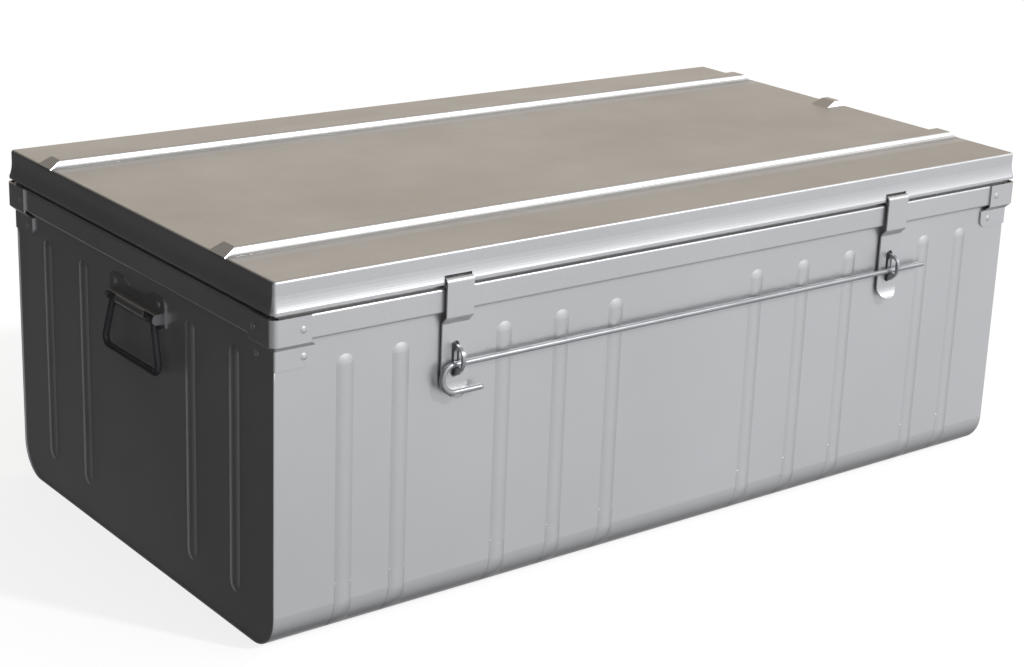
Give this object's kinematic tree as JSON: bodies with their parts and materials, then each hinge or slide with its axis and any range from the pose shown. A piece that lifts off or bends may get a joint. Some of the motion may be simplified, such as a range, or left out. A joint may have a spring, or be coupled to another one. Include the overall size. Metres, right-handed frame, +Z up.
{
  "type": "sheet steel storage trunk",
  "caption": "Long low sheet-steel storage trunk with a ribbed hinged lid, two hasps locked by a sliding rod, and a drop handle at each end.",
  "frame": {"origin": "middle of the underside of the tub", "axes": "+X to the right along the length, +Y to the back where the hinges are, +Z up"},
  "size_m": [1.0162, 0.5774, 0.3776],
  "materials": {
    "silver_paint": "satin silver paint on steel sheet",
    "galvanised_wire": "bright galvanised wire and rod",
    "dark_handle": "dark semi-gloss coating"
  },
  "bodies": {
    "tub": {"tub_wrapper": "silver_paint", "end_panel_left": "silver_paint", "end_panel_right": "silver_paint", "rim_front": "silver_paint", "rim_rear": "silver_paint", "rim_left": "silver_paint", "rim_right": "silver_paint", "corner_bracket_front_left": "silver_paint", "corner_bracket_front_right": "silver_paint", "corner_bracket_rear_left": "silver_paint", "corner_bracket_rear_right": "silver_paint", "bracket_rivets": "silver_paint", "staple_left": "galvanised_wire", "staple_right": "galvanised_wire", "handle_plate_left": "silver_paint", "handle_plate_right": "silver_paint", "handle_rivets": "silver_paint", "hinge_tub_leaf_left": "silver_paint", "hinge_tub_leaf_middle": "silver_paint", "hinge_tub_leaf_right": "silver_paint", "hinge_pin_left": "silver_paint", "hinge_pin_middle": "silver_paint", "hinge_pin_right": "silver_paint", "hinge_tub_rivets": "silver_paint"},
    "lid": {"lid_pan": "silver_paint", "hinge_lid_leaf_left": "silver_paint", "hinge_lid_leaf_middle": "silver_paint", "hinge_lid_leaf_right": "silver_paint", "hinge_lid_rivets": "silver_paint"},
    "left_hasp": {"hasp_left": "silver_paint"},
    "right_hasp": {"hasp_right": "silver_paint"},
    "rod": {"locking_rod": "galvanised_wire"},
    "left_bail": {"handle_bail_left": "dark_handle"},
    "right_bail": {"handle_bail_right": "dark_handle"}
  },
  "joints": [
    {"name": "lid_hinge", "type": "hinge", "parent": "tub", "child": "lid", "pos_m": [0, 0.2826, 0.3375], "axis": [-1, 0, 0], "range_deg": [0, 100]},
    {"name": "left_hasp_swing", "type": "hinge", "parent": "lid", "child": "left_hasp", "pos_m": [-0.3, -0.2764, 0.34075], "axis": [-1, 0, 0], "range_deg": [0, 140]},
    {"name": "right_hasp_swing", "type": "hinge", "parent": "lid", "child": "right_hasp", "pos_m": [0.3, -0.2764, 0.34075], "axis": [-1, 0, 0], "range_deg": [0, 140]},
    {"name": "rod_slide", "type": "slide", "parent": "tub", "child": "rod", "axis": [-1, 0, 0], "range_m": [0, 0.66]},
    {"name": "left_bail_swing", "type": "hinge", "parent": "tub", "child": "left_bail", "pos_m": [-0.5017, -0.008, 0.273], "axis": [0, 1, 0], "range_deg": [0, 90]},
    {"name": "right_bail_swing", "type": "hinge", "parent": "tub", "child": "right_bail", "pos_m": [0.5017, -0.008, 0.273], "axis": [0, -1, 0], "range_deg": [0, 90]}
  ]
}
